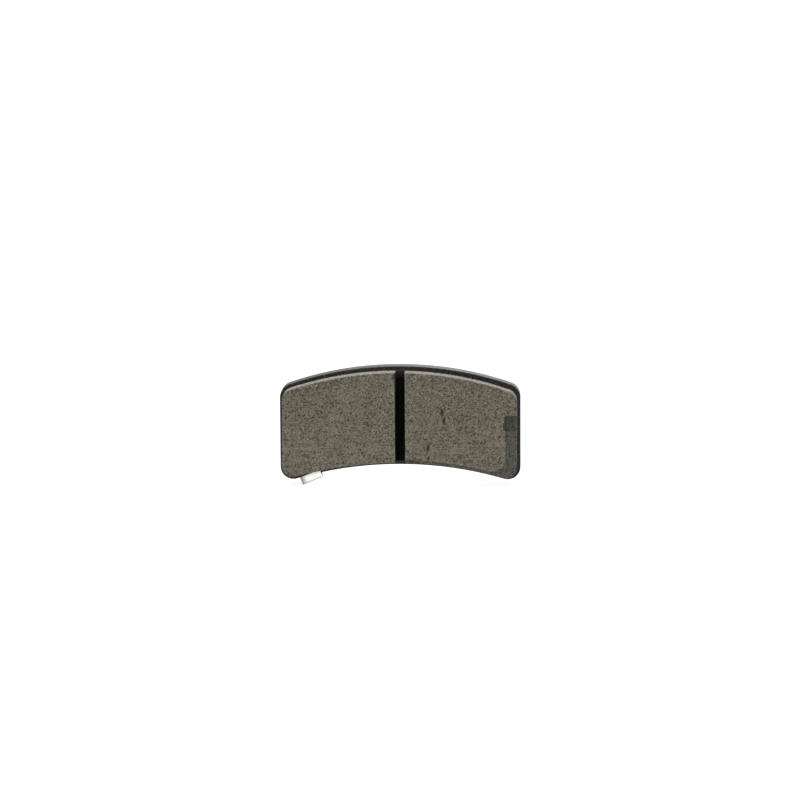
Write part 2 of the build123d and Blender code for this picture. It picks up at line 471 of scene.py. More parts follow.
# %% [markdown]
# The friction finish joins the mix with two facts of how the pad was made. How far a point lies behind
# the ground plane is its Y coordinate, so the as-moulded skin needs no painted mask. The grinding
# wheel ran along the pad and left faint level streaks, which are noise stretched along X. Chips and
# edges need no mask either: they reach behind the ground plane, so they show the dark skin.


# %% Friction material
def ground_face(tree, place, mix, from_middle):
    """Colour of the face that the wheel has cut, and the mask of the level streaks it left."""
    streaks = ramp(tree, noise(tree, stretch(tree, place, (130.0, 400.0, 1700.0)), 1.0, 3.0), 0.40, 0.66)
    height = {"Value": split(tree, place)["Z"], "From Min": 4 * MM, "From Max": -12 * MM}
    strength = {"To Min": 0.12, "To Max": 0.50}
    low_down = node(tree, "ShaderNodeMapRange", height | strength).outputs["Result"]
    colour = tint(tree, mix.outputs["Color"], streaks, low_down, (0.185, 0.163, 0.125, 1.0))

    # the pressed edge crumbles a little below the top arc
    arc_centre = {0: place, 1: (0.0, FACE, TOP_APEX - TOP_RADIUS)}
    out = node(tree, "ShaderNodeVectorMath", arc_centre, operation="DISTANCE").outputs["Value"]
    near_top = ramp(tree, out, TOP_RADIUS - 5.5 * MM, TOP_RADIUS - 2.2 * MM)
    crumbled = maths(tree, "MULTIPLY", ramp(tree, noise(tree, place, 620.0, 4.0), 0.52, 0.66), near_top)
    colour = tint(tree, colour, crumbled, 0.60, (0.026, 0.022, 0.017, 1.0))

    # the slot's saw has rubbed a greyer band along both sides
    rubbed = ramp(tree, from_middle, SLOT_WIDTH / 2 + 1.15 * MM, SLOT_WIDTH / 2 + 0.75 * MM)
    return tint(tree, colour, rubbed, 0.40, (0.155, 0.152, 0.143, 1.0)), streaks


def moulded_skin(tree, place, mix, from_middle):
    """Colour of the skin from the mould, with painted shade: darker the deeper it lies behind the face,
    near black in the slot.
    """
    across = split(tree, place)
    run_marks = noise(tree, stretch(tree, place, (2400.0, 900.0, 260.0)), 1.0, 3.0)
    marked = ramp(tree, run_marks, 0.35, 0.65)
    tone = blend(tree, marked, (0.026, 0.026, 0.024, 1.0), (0.078, 0.078, 0.070, 1.0))
    # painted shade: the skin is made darker the deeper it lies behind the ground face, as shade in the
    # pocket and other recesses
    recess_shade = ramp(tree, across["Y"], FACE + 0.50 * MM, FACE + 0.85 * MM)
    tone = tint(tree, tone, recess_shade, 0.65, (0.020, 0.022, 0.022, 1.0))
    colour = blend(tree, 0.70, mix.outputs["Color"], tone)

    # painted shade: the slot's walls are made near black, as the shadow deep in the slot, and painted
    # light makes them paler towards the slot's open upper end
    slot_shade = ramp(tree, from_middle, SLOT_WIDTH / 2 + 0.25 * MM, SLOT_WIDTH / 2 + 0.12 * MM)
    lit_upper_end = ramp(tree, across["Z"], TOP_APEX - 5.0 * MM, TOP_APEX - 2.0 * MM)
    slot_shade_tone = blend(tree, lit_upper_end, (0.006, 0.005, 0.005, 1.0), (0.030, 0.027, 0.023, 1.0))
    colour = blend(tree, slot_shade, colour, slot_shade_tone)

    # the walls at both ends of the pad are paler
    facing = split(tree, surface_normal(tree))
    sideways = ramp(tree, maths(tree, "ABSOLUTE", facing["X"]), 0.55, 0.85)
    at_end = ramp(tree, from_middle, -face_low.x - 4.0 * MM, -face_low.x - 3.0 * MM)
    end_wall = maths(tree, "MULTIPLY", sideways, at_end)
    colour = tint(tree, colour, end_wall, 0.8, (0.135, 0.130, 0.115, 1.0))

    # grinding dust lies on what faces up, above the pocket and between the pits
    above_pocket = ramp(tree, across["Z"], 5.0 * MM, 6.0 * MM)
    dusty = maths(tree, "MULTIPLY", ramp(tree, facing["Z"], 0.30, 0.80), above_pocket)
    dusty = maths(tree, "MULTIPLY", dusty, maths(tree, "SUBTRACT", 0.85, mix.outputs["Pits"]))
    drifts = ramp(tree, run_marks, 0.40, 0.70)
    dust_tone = blend(tree, drifts, (0.200, 0.192, 0.172, 1.0), (0.300, 0.290, 0.262, 1.0))
    return blend(tree, dusty, colour, dust_tone)


def make_friction_material():
    """Friction mix: ground face where it lies at the grinding plane, moulded skin elsewhere."""
    material, tree, shader, place = new_material("friction mix")
    mix = place_group(tree, FRICTION_MIX, Vector=place)
    across = split(tree, place)
    from_middle = maths(tree, "ABSOLUTE", maths(tree, "SUBTRACT", across["X"], SLOT_MIDDLE))
    face_colour, streaks = ground_face(tree, place, mix, from_middle)
    skin_colour = moulded_skin(tree, place, mix, from_middle)
    skin = ramp(tree, across["Y"], FACE + 0.12 * MM, FACE + 0.30 * MM)
    colour = blend(tree, skin, face_colour, skin_colour)
    scar = node(tree, "ShaderNodeAttribute", attribute_name="scar").outputs["Fac"]
    colour = tint(tree, colour, ramp(tree, scar, 0.0, 0.55), 0.85, (0.030, 0.026, 0.021, 1.0))
    rough = maths(tree, "ADD", maths(tree, "MULTIPLY", streaks, -0.10), 0.80)
    feed(tree, shader, {"Base Color": colour, "Roughness": rough, "Specular IOR Level": 0.22})
    height = maths(tree, "ADD", mix.outputs["Height"], maths(tree, "MULTIPLY", streaks, 0.3))
    bump(tree, shader, height, 0.06 * MM)
    return material


friction = make_friction_material()

# %% [markdown]
# ### The underlayer
#
# The base of the moulding is a darker, coarser mix that holds the pad to its plate. It is never ground.


# %% Underlayer material
def make_underlayer_material():
    """Near black, with painted light: a little paler towards its upper edge, where light falls into the
    slot's open end.
    """
    material, tree, shader, place = new_material("underlayer")
    mix = place_group(tree, FRICTION_MIX, Vector=place)
    colour = blend(tree, 0.97, mix.outputs["Color"], (0.0012, 0.0012, 0.0012, 1.0))
    # painted light: the underlayer is made paler near its upper edge, where light falls into the open
    # top of the slot
    lit_upper_end = ramp(tree, split(tree, place)["Z"], TOP_APEX - 5.0 * MM, TOP_APEX - 1.5 * MM)
    colour = tint(tree, colour, lit_upper_end, 0.30, (0.080, 0.073, 0.062, 1.0))
    dust = place_group(tree, DUST, Vector=place, Scale=900.0, Amount=0.05).outputs["Mask"]
    colour = blend(tree, dust, colour, (0.12, 0.105, 0.08, 1.0))
    feed(tree, shader, {"Base Color": colour, "Roughness": 0.9, "Specular IOR Level": 0.03})
    bump(tree, shader, mix.outputs["Height"], 0.08 * MM)
    return material


underlayer_mix = make_underlayer_material()

# %% [markdown]
# ### Powder coat, rubber, steel and glue
#
# The plate's black powder coat has the fine orange peel of melted powder. It reflects little head-on
# and a lot at a grazing angle, which is why the plate's top edge looks pale under a white sky. Along
# sharp edges the coat is thin and a little steel shows.


# %% Powder coat
def make_powder_coat():
    """Black coat with orange peel, pale specks, a little dust, and steel along the worn edges."""
    material, tree, shader, place = new_material("black powder coat")
    mottle = place_group(tree, MOTTLE, Vector=place, Broad=150.0, Fine=3000.0).outputs["Value"]
    uneven = ramp(tree, mottle, 0.3, 0.7)
    colour = blend(tree, uneven, (0.003, 0.003, 0.003, 1.0), (0.009, 0.009, 0.008, 1.0))
    specks = ramp(tree, noise(tree, place, 1100.0, 3.0), 0.50, 0.66)
    colour = tint(tree, colour, specks, 0.24, (0.14, 0.13, 0.11, 1.0))
    dust = place_group(tree, DUST, Vector=place, Scale=1300.0, Amount=0.10).outputs["Mask"]
    colour = blend(tree, dust, colour, (0.13, 0.115, 0.09, 1.0))
    wear = place_group(tree, EDGE_WEAR, Vector=place, Radius=0.22 * MM, Breakup=900.0).outputs["Mask"]
    colour = tint(tree, colour, wear, 0.5, (0.30, 0.29, 0.28, 1.0))
    rough = maths(tree, "ADD", maths(tree, "MULTIPLY", mottle, 0.25), 0.26)
    rough = maths(tree, "ADD", rough, dust)
    metal = maths(tree, "MULTIPLY", wear, 0.6)
    feed(tree, shader, {"Base Color": colour, "Metallic": metal, "Roughness": rough})
    feed(tree, shader, {"Specular IOR Level": 0.22})
    bump(tree, shader, noise(tree, place, 1400.0, 2.0), 0.035 * MM)
    return material


powder_coat = make_powder_coat()

# %% [markdown]
# The shim's rubber skin is matt and dark grey, with the fine grain of its coating roll and the odd
# pale scuff from the box it came in.


# %% Shim rubber
def make_shim_rubber():
    """Matt dark rubber with a roll's grain and a few long scuffs."""
    material, tree, shader, place = new_material("shim rubber")
    mottle = place_group(tree, MOTTLE, Vector=place, Broad=70.0, Fine=1800.0).outputs["Value"]
    uneven = ramp(tree, mottle, 0.3, 0.7)
    colour = blend(tree, uneven, (0.028, 0.028, 0.030, 1.0), (0.050, 0.050, 0.052, 1.0))
    long_marks = noise(tree, stretch(tree, place, (50.0, 300.0, 2600.0), 0.35), 1.0, 2.0)
    scuffs = ramp(tree, long_marks, 0.70, 0.78)
    colour = tint(tree, colour, scuffs, 0.35, (0.15, 0.15, 0.15, 1.0))
    rough = maths(tree, "ADD", maths(tree, "MULTIPLY", mottle, 0.3), 0.36)
    feed(tree, shader, {"Base Color": colour, "Roughness": rough, "Specular IOR Level": 0.4})
    grain = node(tree, "ShaderNodeTexVoronoi", {"Vector": place, "Scale": 3200.0})
    height = maths(tree, "ADD", grain.outputs["Distance"], maths(tree, "MULTIPLY", scuffs, -0.4))
    bump(tree, shader, height, 0.012 * MM)
    return material


shim_rubber = make_shim_rubber()

# %% [markdown]
# Rolled steel has fine lines along the way it went through the mill, so its noise is stretched far
# along one direction. Where a part's mesh corners carry a painted mask, the steel is darker and
# duller; on the leaf this is painted shade.


# %% Steels
def make_steel(name, colour_low, colour_high, roughness, line_scale, turn=0.0):
    """Steel with rolling lines along one direction, darker and duller where a painted shade mask lies on
    its mesh corners.
    """
    material, tree, shader, place = new_material(name)
    lines = noise(tree, stretch(tree, place, line_scale, turn), 1.0, 4.0)
    line_mask = ramp(tree, lines, 0.3, 0.7)
    mottle = place_group(tree, MOTTLE, Vector=place, Broad=300.0, Fine=3000.0).outputs["Value"]
    colour = blend(tree, line_mask, colour_low, colour_high)
    colour = blend(tree, ramp(tree, mottle, 0.52, 0.62), colour, colour_low)
    # painted shade: a value painted on the mesh corners darkens the steel towards grey and dulls it
    shade_and_dulling = node(tree, "ShaderNodeAttribute", attribute_name="shade_and_dulling").outputs["Fac"]
    colour = blend(tree, shade_and_dulling, colour, (0.20, 0.20, 0.19, 1.0))
    rough = maths(tree, "ADD", maths(tree, "MULTIPLY", line_mask, 0.12), roughness)
    rough = maths(tree, "ADD", rough, maths(tree, "MULTIPLY", shade_and_dulling, 0.15))
    feed(tree, shader, {"Base Color": colour, "Metallic": 1.0, "Roughness": rough})
    bump(tree, shader, lines, 0.006 * MM)
    return material


leaf_steel = make_steel(
    "spring steel",
    (0.84, 0.84, 0.82, 1.0),
    (0.95, 0.95, 0.93, 1.0),
    roughness=0.30,
    line_scale=(5200.0, 160.0, 160.0),
    turn=LEAF_TILT,
)
shim_steel = make_steel(
    "shim steel",
    (0.30, 0.30, 0.30, 1.0),
    (0.50, 0.50, 0.49, 1.0),
    roughness=0.38,
    line_scale=(300.0, 6000.0, 300.0),
)
rivet_steel = make_steel(
    "rivet steel",
    (0.45, 0.44, 0.42, 1.0),
    (0.56, 0.55, 0.52, 1.0),
    roughness=0.30,
    line_scale=(900.0, 900.0, 900.0),
)

# %% [markdown]
# Two glues show as thin lines: the brown resin under the moulding and the grey film under the shim.


# %% Glue
def make_glue(name, colour_low, colour_high):
    """Baked resin: dark, a little glossy and uneven."""
    material, tree, shader, place = new_material(name)
    mottle = place_group(tree, MOTTLE, Vector=place, Broad=400.0, Fine=2500.0).outputs["Value"]
    colour = blend(tree, ramp(tree, mottle, 0.3, 0.7), colour_low, colour_high)
    feed(tree, shader, {"Base Color": colour, "Roughness": 0.42})
    bump(tree, shader, mottle, 0.03 * MM)
    return material


bond_glue = make_glue("bond glue", (0.030, 0.018, 0.010, 1.0), (0.070, 0.042, 0.022, 1.0))
shim_glue = make_glue("shim glue", (0.040, 0.040, 0.036, 1.0), (0.080, 0.080, 0.072, 1.0))
print("materials", len(bpy.data.materials))

# %% [markdown]
# ## The arched outline, drawn with Spin
#
# Plate and shim share one outline: a wide arc above, a wide arc below, two upright ends and four round
# corners. By hand this is drawn as with a pen. A single corner point is the pen, Spin sweeps it round
# an arc's centre, and Extrude draws a straight line. Each call leaves only the newest point selected,
# so the next call carries on from there. Fill and one more Extrude then make a slab of it.
#
# The corner arcs have to meet their neighbours without a kink. A corner circle inside the top arc has
# its centre at a distance of the radii's difference from that arc's centre, and one outside the bottom
# arc at the radii's sum. Both angles below come from that right triangle.


# %% Outline pen
def pen_down(name, point):
    """Start a new piece, in edit mode, with one selected corner point: the pen."""
    bpy.ops.mesh.primitive_plane_add(size=1.0 * MM)
    piece = bpy.context.object
    piece.name = name
    bpy.ops.object.mode_set(mode="EDIT")
    bpy.ops.mesh.select_mode(type="VERT")
    bpy.ops.mesh.select_all(action="SELECT")
    bpy.ops.mesh.merge(type="CENTER")
    bpy.ops.transform.translate(value=point)
    return piece


def pen_arc(centre, degrees, step_length, radius):
    """Sweep the selected point about the centre, clockwise as seen from the rotor's side."""
    turn = math.radians(degrees)
    steps = max(4, round(abs(turn) * radius / step_length))
    bpy.ops.mesh.spin(steps=steps, angle=-turn, center=centre, axis=(0.0, 1.0, 0.0))


def draw_sector(name, depth, inset):
    """Draw the plate's outline, brought in by inset, as a face at one depth."""
    half = HALF_LENGTH - inset
    top_radius, bottom_radius = TOP_RADIUS - inset, BOTTOM_RADIUS + inset
    top_corner, bottom_corner = TOP_CORNER - inset, BOTTOM_CORNER - inset
    top_centre = Vector((0.0, depth, TOP_APEX - TOP_RADIUS))
    bottom_centre = Vector((0.0, depth, BOTTOM_APEX - BOTTOM_RADIUS))
    top_reach, bottom_reach = top_radius - top_corner, bottom_radius + bottom_corner
    top_angle = math.asin((half - top_corner) / top_reach)
    bottom_angle = math.asin((half - bottom_corner) / bottom_reach)
    upper_z = top_centre.z + top_reach * math.cos(top_angle)
    lower_z = bottom_centre.z + bottom_reach * math.cos(bottom_angle)

    start = top_centre + top_radius * Vector((-math.sin(top_angle), 0.0, math.cos(top_angle)))
    piece = pen_down(name, start)
    fine, broad = 0.35 * MM, 0.9 * MM
    top_degrees, bottom_degrees = math.degrees(top_angle), math.degrees(bottom_angle)
    right_top = Vector((half - top_corner, depth, upper_z))
    right_bottom = Vector((half - bottom_corner, depth, lower_z))
    left_top = Vector((-right_top.x, depth, upper_z))
    left_bottom = Vector((-right_bottom.x, depth, lower_z))
    pen_arc(top_centre, 2 * top_degrees, broad, top_radius)
    pen_arc(right_top, 90 - top_degrees, fine, top_corner)
    draw_out(0.0, 0.0, lower_z - upper_z)
    pen_arc(right_bottom, 90 + bottom_degrees, fine, bottom_corner)
    pen_arc(bottom_centre, -2 * bottom_degrees, broad, bottom_radius)
    pen_arc(left_bottom, 90 + bottom_degrees, fine, bottom_corner)
    draw_out(0.0, 0.0, upper_z - lower_z)
    pen_arc(left_top, 90 - top_degrees, fine, top_corner)
    bpy.ops.mesh.select_all(action="SELECT")
    bpy.ops.mesh.remove_doubles(threshold=0.01 * MM)
    bpy.ops.mesh.edge_face_add()
    return piece


def sector_slab(name, back, front, inset=0.0):
    """The outline as a closed slab between two depths. Leaves it in object mode."""
    piece = draw_sector(name, back, inset)
    draw_out(0.0, front - back, 0.0)
    tidy_normals()
    bpy.ops.object.mode_set(mode="OBJECT")
    return piece


def round_rim(piece, depth, radius, segments):
    """Round the edges that lie at one depth, all the way round the outline."""
    alone(piece)
    bpy.ops.object.mode_set(mode="EDIT")
    near = 0.01 * MM
    select_edges(piece, lambda a, b: abs(a.y - depth) < near and abs(b.y - depth) < near)
    bpy.ops.mesh.bevel(offset=radius, segments=segments, affect="EDGES", clamp_overlap=False)
    bpy.ops.object.mode_set(mode="OBJECT")


# %% [markdown]
# ## Backing plate
#
# The plate is the plain slab. Blanking leaves a softly rolled edge on one face and a crisp one on the
# other, and the powder coat fills both a little. Two holes under the friction blocks key the moulding
# to the steel, and a small one takes the rivet. They are cut with cylinders laid along Y.


# %% Make the backing plate
PLATE_BACK, PLATE_FRONT = plate_high.y, plate_low.y
KEY_SPACING = 46.0 * MM
KEY_DROP = 2.0 * MM
KEY_MOUTH = 4.5 * MM
KEY_ROOT = 5.5 * MM
KEY_ROOT_DEPTH = 2.0 * MM
RIVET_HOLE = 1.55 * MM


def rod(radius, back, front, x, z, vertices=48):
    """A cylinder along Y between two depths, as a cutting tool."""
    bpy.ops.mesh.primitive_cylinder_add(
        vertices=vertices,
        radius=radius,
        depth=abs(back - front),
        location=(x, (back + front) / 2, z),
        rotation=(math.pi / 2, 0.0, 0.0),
    )
    tool = bpy.context.object
    settle(tool)
    return tool


plate = sector_slab("backing_plate_coated", PLATE_BACK, PLATE_FRONT)
round_rim(plate, PLATE_FRONT, 0.30 * MM, 4)
round_rim(plate, PLATE_BACK, 0.12 * MM, 2)
rivet_low, rivet_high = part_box("indicator_rivet")
rivet_x, rivet_z = (rivet_low.x + rivet_high.x) / 2, (rivet_low.z + rivet_high.z) / 2
for side in (-1, 1):
    key_x = side * KEY_SPACING / 2
    cut_away(plate, rod(KEY_MOUTH, PLATE_BACK + MM, PLATE_FRONT - MM, key_x, -KEY_DROP))
    cut_away(plate, rod(KEY_ROOT, PLATE_BACK + MM, PLATE_BACK - KEY_ROOT_DEPTH, key_x, -KEY_DROP))
cut_away(plate, rod(RIVET_HOLE, PLATE_BACK + MM, PLATE_FRONT - MM, rivet_x, rivet_z))
finish_piece(plate, powder_coat, "plate_paint", "backing_plate")

# %% [markdown]
# ## Shim
#
# The shim is a sheet of steel between two skins of rubber, glued to the plate. Only its outer skin and
# its cut edge show. Each layer is its own slab of the same outline, with a notch that clears the
# indicator's foot: a cylinder cuts the notch's round end and a block the way out to the lower edge.


# %% Make the shim layers
NOTCH_RADIUS = 4.2 * MM
NOTCH_LENGTH = 16.0 * MM


def foot_block(back, front):
    """Cutting block from the rivet down past the lower edge, along the leaf."""
    bpy.ops.mesh.primitive_cube_add(size=1.0)
    tool = bpy.context.object
    tool.scale = (2 * NOTCH_RADIUS, abs(back - front), NOTCH_LENGTH)
    middle = Matrix.Rotation(-LEAF_TILT, 4, "Y") @ Vector((0.0, 0.0, -NOTCH_LENGTH / 2))
    tool.location = (rivet_x + middle.x, (back + front) / 2, rivet_z + middle.z)
    tool.rotation_euler = (0.0, -LEAF_TILT, 0.0)
    settle(tool)
    return tool


def shim_layer(name, cad_node, rounding):
    """One layer of the shim, notched for the leaf's foot."""
    low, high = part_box(cad_node)
    piece = sector_slab(name, high.y, low.y)
    if rounding:
        round_rim(piece, high.y, rounding, 2)
    cut_away(piece, rod(NOTCH_RADIUS, high.y + MM, low.y - MM, rivet_x, rivet_z, 64))
    cut_away(piece, foot_block(high.y + MM, low.y - MM))
    return piece


for cad_node, name, finish, slot, rounding in (
    ("shim_outer_rubber", "shim_skin_outer", shim_rubber, "shim_rubber", 0.06 * MM),
    ("shim_steel_core", "shim_sheet", shim_steel, "shim_steel", 0.0),
    ("shim_inner_rubber", "shim_skin_inner", shim_rubber, "shim_rubber", 0.0),
    ("shim_adhesive", "shim_glue_film", shim_glue, "shim_glue", 0.0),
):
    finish_piece(shim_layer(name, cad_node, rounding), finish, slot, cad_node)

# %% [markdown]
# ## Friction blocks and underlayer
#
# These are rough, so they start from a copy of the CAD solid: merged into one skin, then remeshed to
# an even net of small squares that a Displace modifier can push about. Every displacement goes inwards,
# which keeps the block inside its true size. Before the remesh, rounded lumps are subtracted where the
# edges have chipped.


# %% Copy and remesh
def rough_copy(cad_node, name):
    """A merged copy of a CAD node, ready to cut and remesh."""
    piece = bpy.data.objects.new(name, nodes[cad_node].data.copy())
    bpy.context.scene.collection.objects.link(piece)
    alone(piece)
    bpy.ops.object.mode_set(mode="EDIT")
    bpy.ops.mesh.select_all(action="SELECT")
    bpy.ops.mesh.remove_doubles(threshold=0.001 * MM)
    bpy.ops.object.mode_set(mode="OBJECT")
    return piece


def lump(x, y, z, size, stretch=(1.0, 1.0, 1.0), turn=0.0):
    """An uneven ball, to bite a chip out of an edge."""
    bpy.ops.mesh.primitive_ico_sphere_add(subdivisions=2, radius=size, location=(x, y, z))
    tool = bpy.context.object
    tool.scale = stretch
    tool.rotation_euler = (0.4, turn, 0.2)
    settle(tool)
    return tool


def hollow(piece, label, kind, size, depth, first, last):
    """Sink hollows into the surface where a texture lies between two values of its range."""
    texture = bpy.data.textures.new(f"{piece.name} {label}", kind)
    texture.noise_scale = size
    texture.use_color_ramp = True
    low, high = texture.color_ramp.elements
    low.position, low.color = first, (1.0, 1.0, 1.0, 1.0)
    high.position, high.color = last, (0.0, 0.0, 0.0, 1.0)
    displace = piece.modifiers.new(label, "DISPLACE")
    displace.texture = texture
    displace.texture_coords = "LOCAL"
    displace.mid_level = 1.0
    displace.strength = depth


def roughen(piece, voxel, pit_depth):
    """Remesh evenly, then sink soft hollows, torn-out grains and small pits into the surface."""
    remesh = piece.modifiers.new("even net", "REMESH")
    remesh.mode = "VOXEL"
    remesh.voxel_size = voxel
    hollow(piece, "hollows", "CLOUDS", 2.2 * MM, 0.05 * MM, 0.2, 0.8)
    hollow(piece, "torn grains", "CLOUDS", 0.75 * MM, pit_depth, 0.58, 0.74)
    hollow(piece, "pits", "CLOUDS", 0.42 * MM, 0.6 * pit_depth, 0.60, 0.72)
    apply_modifiers(piece)


# %% [markdown]
# The left-hand block has lost a row of crumbs along the upper end of the slot. Each is given as how far
# it lies from the slot's edge and from the block's top, and its size, all in millimetres.

# %% Make the left-hand block
LAND_NET = 0.22 * MM
TORN_DEPTH = 0.30 * MM
left_land = rough_copy("friction_land_left", "friction_block_left")
BLOCK_TOP = face_high.z
CHIPS = ((-0.15, -1.3, 0.85), (-0.35, -2.4, 0.95), (0.0, -3.4, 0.75), (0.1, -4.6, 0.5))
for x, z, size in CHIPS:
    place = (SLOT_LEFT + x * MM, FACE + 0.25 * MM, BLOCK_TOP + z * MM)
    cut_away(left_land, lump(*place, size * MM, (1.0, 1.0, 1.2), 0.3))
roughen(left_land, LAND_NET, TORN_DEPTH)
finish_piece(left_land, friction, "friction", "friction_land_left")

# %% [markdown]
# The right-hand block has a few scars: wide, shallow dishes, each cut with the cap of a lump whose
# middle lies well in front of the face. They are also dark with old resin. That shade is painted after
# the remesh, as a number on each mesh corner that the friction material reads by its name. A scar is
# given as its place along and up the block, its lump's size, its depth, how far the lump is stretched in
# width and height, and its turn.

# %% Make the right-hand block
SCARS = (
    (16.3, 2.7, 1.3, 0.28, 0.90, 1.9, -0.1),
    (17.05, -0.6, 1.1, 0.31, 0.75, 2.1, -0.1),
    (11.0, -11.1, 1.1, 0.24, 0.85, 2.4, 0.15),
    (11.1, -15.2, 0.9, 0.22, 0.80, 1.6, 0.1),
    (4.7, -0.9, 0.8, 0.28, 1.10, 0.9, 0.4),
    (40.0, -2.9, 1.0, 0.30, 0.80, 1.9, 0.0),
)
right_land = rough_copy("friction_land_right", "friction_block_right")
for x, z, size, depth, width, height, turn in SCARS:
    place = (x * MM, FACE + (depth - size) * MM, z * MM)
    cut_away(right_land, lump(*place, size * MM, (width, 1.0, height), turn))
roughen(right_land, LAND_NET, TORN_DEPTH)


def scar_shade(corner):
    """How dark the old resin is at a mesh corner: 1 in the middle of a scar, 0 outside."""
    shade = 0.0
    for x, z, size, depth, width, height, turn in SCARS:
        reach = math.sqrt(depth * (2 * size - depth)) * MM
        across, along = (corner.x - x * MM) / (reach * width), (corner.z - z * MM) / (reach * height)
        shade = max(shade, 1.0 - across**2 - along**2)
    return shade if corner.y < FACE + 0.6 * MM else 0.0


scar = right_land.data.attributes.new("scar", "FLOAT", "POINT")
for corner, painted in zip(right_land.data.vertices, scar.data):
    painted.value = scar_shade(corner.co)
finish_piece(right_land, friction, "friction", "friction_land_right")

# %% [markdown]
# The underlayer gets a coarser net and shallower hollows, as only a thin band of it shows.

# %% Make the underlayer
underlayer = rough_copy("underlayer", "underlayer_moulding")
roughen(underlayer, 0.28 * MM, 0.12 * MM)
finish_piece(underlayer, underlayer_mix, "underlayer", "underlayer")

# %% [markdown]
# The bond film is a tenth of a millimetre thick and right as the CAD has it, so it only gets its glue.

# %% Bond film
bond = nodes["bond_adhesive"]
bond.data.materials.clear()
bond.data.materials.append(bond_glue)

# %% [markdown]
# ## Wear indicator
#
# The leaf is one strip of spring steel, bent as in the workshop: a flat foot on the plate's back, the
# lower edge carried down past the plate, rolled forwards under it, and turned up again to face the
# rotor. Spin makes the bends from the strip's end edge, and Extrude the flats. The strip is widest at
# its tip, so its end edge is scaled once it has run under the plate.

# %% Bend the strip
LEAF_WIDTH = 8.2 * MM
LEAF_FOOT_WIDTH = 7.0 * MM
LEAF_THICKNESS = 0.5 * MM
LEAF_FOOT = 5.2 * MM
LEAF_GAP = 1.6 * MM
LEAF_BEND = 0.7 * MM
LEAF_STAND = 2.9 * MM
LEAF_TIP_TOP = 1.1 * MM


def strip_end(piece, test):
    """Select the strip's end edge: the edge across the strip whose both ends pass the test."""
    select_edges(piece, lambda a, b: test(a) and test(b) and abs(a.x - b.x) > LEAF_WIDTH / 2)


def bend_strip(centre_y, centre_z):
    """Roll the selected end edge through a quarter turn, forwards and then up."""
    bpy.ops.mesh.spin(
        steps=10, angle=math.pi / 2, center=(0.0, centre_y, centre_z), axis=(1.0, 0.0, 0.0)
    )


def make_leaf_strip():
    """Bend the strip upright, with the plate's edge at height zero and its foot on the back."""
    sheet_depth = PLATE_BACK + LEAF_THICKNESS / 2
    run_height = -LEAF_GAP - LEAF_THICKNESS / 2
    tip_depth = PLATE_FRONT - LEAF_STAND
    bpy.ops.mesh.primitive_plane_add(size=1.0, rotation=(math.pi / 2, 0.0, 0.0))
    strip = bpy.context.object
    strip.name = "wear_leaf"
    foot_top = LEAF_FOOT + LEAF_FOOT_WIDTH / 2
    foot_bottom = run_height + LEAF_BEND
    strip.scale = (LEAF_FOOT_WIDTH, foot_top - foot_bottom, 1.0)
    strip.location = (0.0, sheet_depth, (foot_top + foot_bottom) / 2)
    settle(strip)
    bpy.ops.object.mode_set(mode="EDIT")
    strip_end(strip, lambda corner: corner.z < foot_bottom + 0.01 * MM)
    bend_strip(sheet_depth - LEAF_BEND, foot_bottom)
    run = sheet_depth - tip_depth - 2 * LEAF_BEND
    draw_out(0.0, -run, 0.0)
    bpy.ops.transform.resize(value=(LEAF_WIDTH / LEAF_FOOT_WIDTH, 1.0, 1.0))
    bend_strip(tip_depth + LEAF_BEND, foot_bottom)
    draw_out(0.0, 0.0, LEAF_TIP_TOP - foot_bottom)
    return strip, foot_top


def round_foot(strip, foot_top):
    """In edit mode, round the foot's two upper corners, which almost meet in the middle."""
    bpy.ops.mesh.select_mode(type="VERT")
    bpy.ops.mesh.select_all(action="DESELECT")
    bpy.ops.object.mode_set(mode="OBJECT")
    for corner in strip.data.vertices:
        corner.select = corner.co.z > foot_top - 0.01 * MM
    bpy.ops.object.mode_set(mode="EDIT")
    almost_half = LEAF_FOOT_WIDTH / 2 * 0.999
    bpy.ops.mesh.bevel(offset=almost_half, segments=14, affect="VERTICES", clamp_overlap=False)
    bpy.ops.mesh.select_all(action="SELECT")
    bpy.ops.mesh.normals_make_consistent(inside=False)


leaf, foot_top = make_leaf_strip()
round_foot(leaf, foot_top)
print("strip", len(leaf.data.polygons), "faces")

# %% [markdown]
# Solidify gives the sheet its thickness, and a small Bevel breaks its edges. Before that the strip is
# cut lengthwise by a few lines near its left side, because a shade painted on mesh corners can only
# fade where there are corners. Painted shade darkens the tip's left side and the lower bend, as if they
# turned away from the light, and the part behind the plate is evenly darker and duller. The strip was
# bent upright at the origin, so the last step leans it over and hangs it from its rivet.

# %% Finish the leaf
FADE_LINES = (-3.4, -2.9, -2.4, -1.9, -1.4)
FADE_WIDTH = 2.4 * MM
FADE_HEIGHT = 0.75 * MM
BACK_DULLING = 0.75
for cut_x in FADE_LINES:
    bpy.ops.mesh.select_all(action="SELECT")
    bpy.ops.mesh.bisect(plane_co=(cut_x * MM, 0.0, 0.0), plane_no=(1.0, 0.0, 0.0))
bpy.ops.object.mode_set(mode="OBJECT")
sheet = leaf.modifiers.new("thickness", "SOLIDIFY")
sheet.thickness = LEAF_THICKNESS
sheet.offset = 0.0
sheet.use_even_offset = True
edge = leaf.modifiers.new("broken edges", "BEVEL")
edge.width = 0.07 * MM
edge.segments = 2
edge.limit_method = "ANGLE"
edge.angle_limit = math.radians(50)
apply_modifiers(leaf)


def shade_and_dulling_at(corner):
    """How much painted shade and dulling a mesh corner gets, from 0 to 1."""
    if corner.y >= PLATE_FRONT:
        return BACK_DULLING
    near_side = 1.0 - (corner.x + LEAF_WIDTH / 2) / FADE_WIDTH
    low_down = max(0.0, 1.0 - (corner.z + LEAF_GAP + LEAF_THICKNESS) / FADE_HEIGHT)
    return max(near_side, 0.8 * low_down, 0.0)


